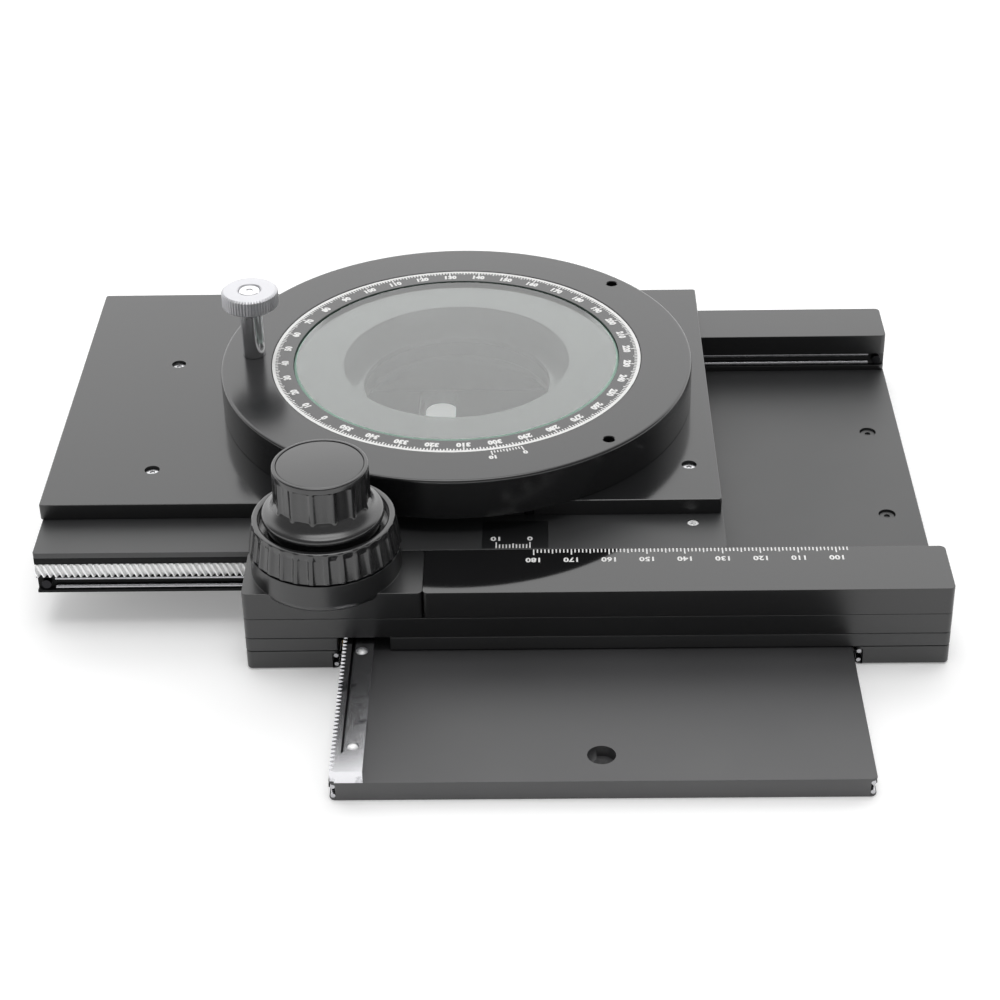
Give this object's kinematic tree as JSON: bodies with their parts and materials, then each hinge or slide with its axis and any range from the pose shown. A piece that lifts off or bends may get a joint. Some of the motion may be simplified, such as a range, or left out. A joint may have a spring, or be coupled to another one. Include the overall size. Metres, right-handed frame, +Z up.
{
  "type": "mechanical microscope stage",
  "caption": "Attachable two-axis microscope stage: ball-guided plates moved by coaxial rack knobs, with a rotating graduated glass insert.",
  "frame": {"origin": "centre of the base plate's light aperture, on the base plate's underside", "axes": "+X to the operator's right, along the X travel; +Y away from the operator, along the Y travel; +Z up"},
  "size_m": [0.2435, 0.2179, 0.0617],
  "materials": {
    "anodised_black": "bead-blasted and black anodised, satin",
    "bright_steel": "ground and polished steel",
    "race_wire": "hardened drawn steel wire",
    "screw_black": "black oxide on steel",
    "bearing_brass": "turned brass",
    "friction_disc": "low-friction plastic, matt",
    "chromed_steel": "nickel-chrome plate over turned steel",
    "moulded_black": "moulded black plastic, semi-gloss",
    "stage_glass": "polished float glass with a ground edge"
  },
  "bodies": {
    "base": {"base_plate": "anodised_black", "y_rack": "bright_steel", "y_rack_screws": "bright_steel", "base_race_wires": "race_wire", "base_cage_stops": "screw_black"},
    "y_carriage": {"main_plate": "anodised_black", "left_side_rail": "anodised_black", "right_side_rail": "anodised_black", "side_rail_screws": "screw_black", "side_rail_wires": "race_wire", "side_rail_cage_stops": "screw_black", "front_race_rail": "anodised_black", "drive_housing": "anodised_black", "scale_bar": "anodised_black", "rear_bar": "anodised_black", "fixed_x_race_wires": "race_wire", "fixed_x_cage_stops": "screw_black", "bar_screws": "screw_black", "sleeve_bush": "bearing_brass", "shaft_bush": "bearing_brass", "y_stop_pin": "bright_steel", "friction_washer": "friction_disc"},
    "x_carriage": {"top_plate": "anodised_black", "carrier_plate": "anodised_black", "vernier_plate": "anodised_black", "front_slide_bar": "anodised_black", "rear_slide_bar": "anodised_black", "x_rack": "bright_steel", "x_rack_screws": "screw_black", "moving_x_race_wires": "race_wire", "moving_x_cage_stops": "bright_steel", "slide_bar_screws": "screw_black", "slide_set_screw": "screw_black", "top_plate_screws": "bright_steel", "ring_housing": "anodised_black", "ring_screws": "screw_black", "brake_plunger": "bearing_brass", "dial_bearing_ring": "friction_disc", "x_stop_pin": "bright_steel"},
    "dial": {"dial_ring": "anodised_black", "stage_glass": "stage_glass"},
    "lock": {"lock_knob": "chromed_steel", "lock_stem": "chromed_steel"},
    "x_drive": {"x_knob": "moulded_black", "x_sleeve_shaft": "bright_steel", "x_pinion": "bright_steel", "x_knob_grub_screw": "screw_black"},
    "y_drive": {"y_knob": "moulded_black", "y_knob_cap": "moulded_black", "y_shaft": "bright_steel", "y_pinion": "bright_steel", "y_cap_screw": "screw_black"},
    "x_cages": {"x_ball_cages": "bearing_brass", "x_race_balls": "bright_steel"},
    "y_cages": {"y_ball_cages": "bearing_brass", "y_race_balls": "bright_steel"}
  },
  "joints": [
    {"name": "y_slide", "type": "slide", "parent": "base", "child": "y_carriage", "axis": [0, -1, 0], "range_m": [0, 0.052]},
    {"name": "x_slide", "type": "slide", "parent": "y_carriage", "child": "x_carriage", "axis": [1, 0, 0], "range_m": [0, 0.077]},
    {"name": "x_knob_turn", "type": "hinge", "parent": "y_carriage", "child": "x_drive", "pos_m": [-0.07115, -0.05622, 0.035], "axis": [0, 0, 1], "range_deg": [-638.5, 0]},
    {"name": "y_knob_turn", "type": "hinge", "parent": "y_carriage", "child": "y_drive", "pos_m": [-0.07115, -0.05622, 0.045], "axis": [0, 0, 1], "range_deg": [0, 596.5]},
    {"name": "x_cage_slide", "type": "slide", "parent": "y_carriage", "child": "x_cages", "axis": [1, 0, 0], "range_m": [0, 0.0386]},
    {"name": "y_cage_slide", "type": "slide", "parent": "base", "child": "y_cages", "axis": [0, -1, 0], "range_m": [0, 0.0261]},
    {"name": "dial_turn", "type": "hinge", "parent": "x_carriage", "child": "dial", "pos_m": [-0.0385, 0.026, 0.0356], "axis": [0, 0, 1], "continuous": true},
    {"name": "lock_turn", "type": "hinge", "parent": "x_carriage", "child": "lock", "pos_m": [-0.09726, 0.02826, 0.05], "axis": [0, 0, 1], "range_deg": [-180, 0]}
  ],
  "couplings": [
    {"joint": "x_knob_turn", "follows": "x_slide", "rad_per_m": -144.57},
    {"joint": "y_knob_turn", "follows": "y_slide", "rad_per_m": 200},
    {"joint": "x_cage_slide", "follows": "x_slide", "ratio": 0.5},
    {"joint": "y_cage_slide", "follows": "y_slide", "ratio": 0.5}
  ]
}
